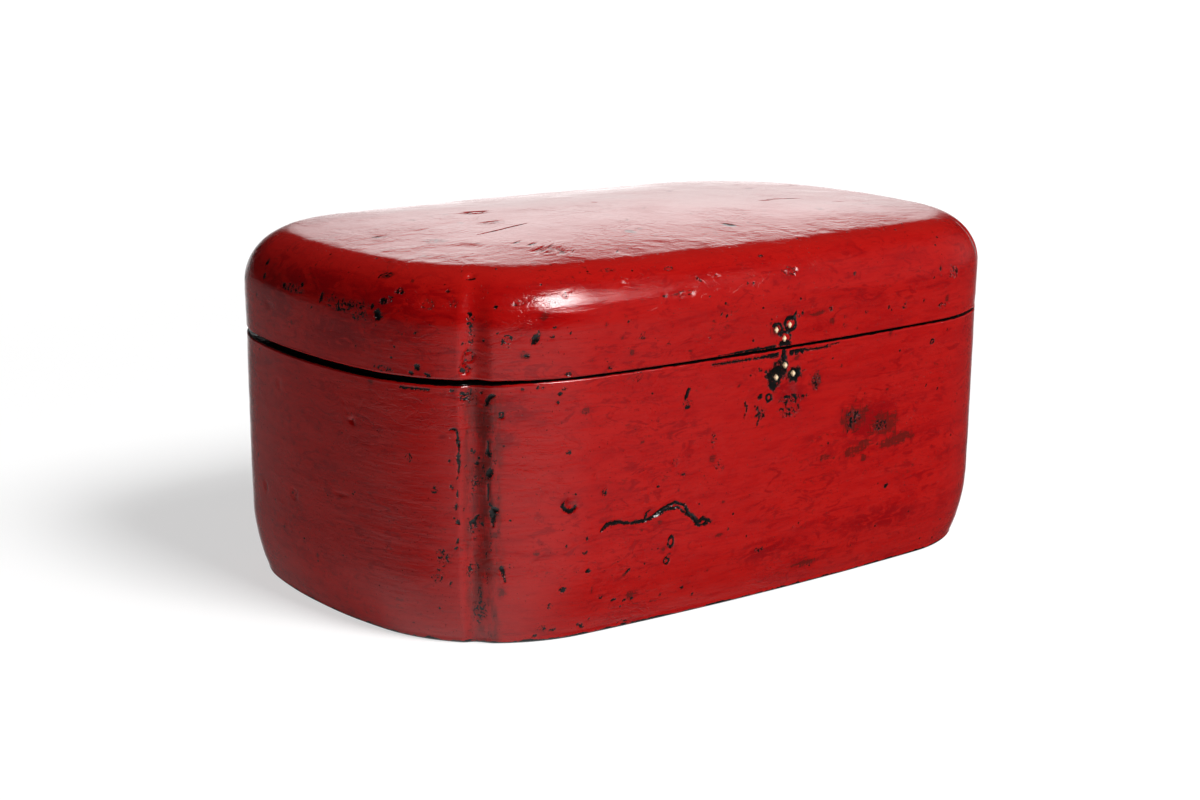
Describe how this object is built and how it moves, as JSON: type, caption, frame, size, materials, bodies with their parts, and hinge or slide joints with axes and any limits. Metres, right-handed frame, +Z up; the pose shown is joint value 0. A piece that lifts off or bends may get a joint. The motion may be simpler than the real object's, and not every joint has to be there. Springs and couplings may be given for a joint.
{
  "type": "lacquer box",
  "caption": "Oblong lacquered wooden box with bowed sides, grooved corners and a domed lid that swings on back hinges.",
  "frame": {"origin": "middle of the flat underside, on the floor", "axes": "+X along the box to the right as seen from its front, +Y from the front to the hinged back, +Z up"},
  "size_m": [0.3808, 0.2459, 0.1761],
  "materials": {
    "red_lacquer": "glossy red lacquer over wood, worn, brushed and crackled",
    "dark_lacquer": "satin black-brown lacquer over wood",
    "brass": "aged, softly polished",
    "pale_wood": "bare pale wood, flush cut"
  },
  "bodies": {
    "base": {"base_front_wall": "red_lacquer", "base_back_wall": "red_lacquer", "base_left_end": "red_lacquer", "base_right_end": "red_lacquer", "base_corner_post_back_right": "red_lacquer", "base_corner_post_back_left": "red_lacquer", "base_corner_post_front_left": "red_lacquer", "base_corner_post_front_right": "red_lacquer", "base_clasp_peg_upper": "pale_wood", "base_clasp_peg_left": "pale_wood", "base_clasp_peg_right": "pale_wood", "base_bottom_board": "dark_lacquer", "rim_lip_back": "dark_lacquer", "rim_lip_front": "dark_lacquer", "hinge_left_base_leaf": "brass", "hinge_left_pin": "brass", "hinge_left_base_nail_1": "brass", "hinge_left_base_nail_2": "brass", "hinge_left_base_nail_3": "brass", "hinge_right_base_leaf": "brass", "hinge_right_pin": "brass", "hinge_right_base_nail_1": "brass", "hinge_right_base_nail_2": "brass", "hinge_right_base_nail_3": "brass"},
    "lid": {"lid_front_wall": "red_lacquer", "lid_back_wall": "red_lacquer", "lid_left_end": "red_lacquer", "lid_right_end": "red_lacquer", "lid_corner_post_back_right": "red_lacquer", "lid_corner_post_back_left": "red_lacquer", "lid_corner_post_front_left": "red_lacquer", "lid_corner_post_front_right": "red_lacquer", "lid_clasp_peg_left": "pale_wood", "lid_clasp_peg_right": "pale_wood", "lid_clasp_peg_lower": "pale_wood", "lid_top_board": "red_lacquer", "hinge_left_lid_leaf": "brass", "hinge_left_lid_nail_1": "brass", "hinge_left_lid_nail_2": "brass", "hinge_left_lid_nail_3": "brass", "hinge_right_lid_leaf": "brass", "hinge_right_lid_nail_1": "brass", "hinge_right_lid_nail_2": "brass", "hinge_right_lid_nail_3": "brass"}
  },
  "joints": [
    {"name": "lid_hinge", "type": "hinge", "parent": "base", "child": "lid", "pos_m": [0, 0.12191, 0.122], "axis": [-1, 0, 0], "range_deg": [0, 180]}
  ]
}
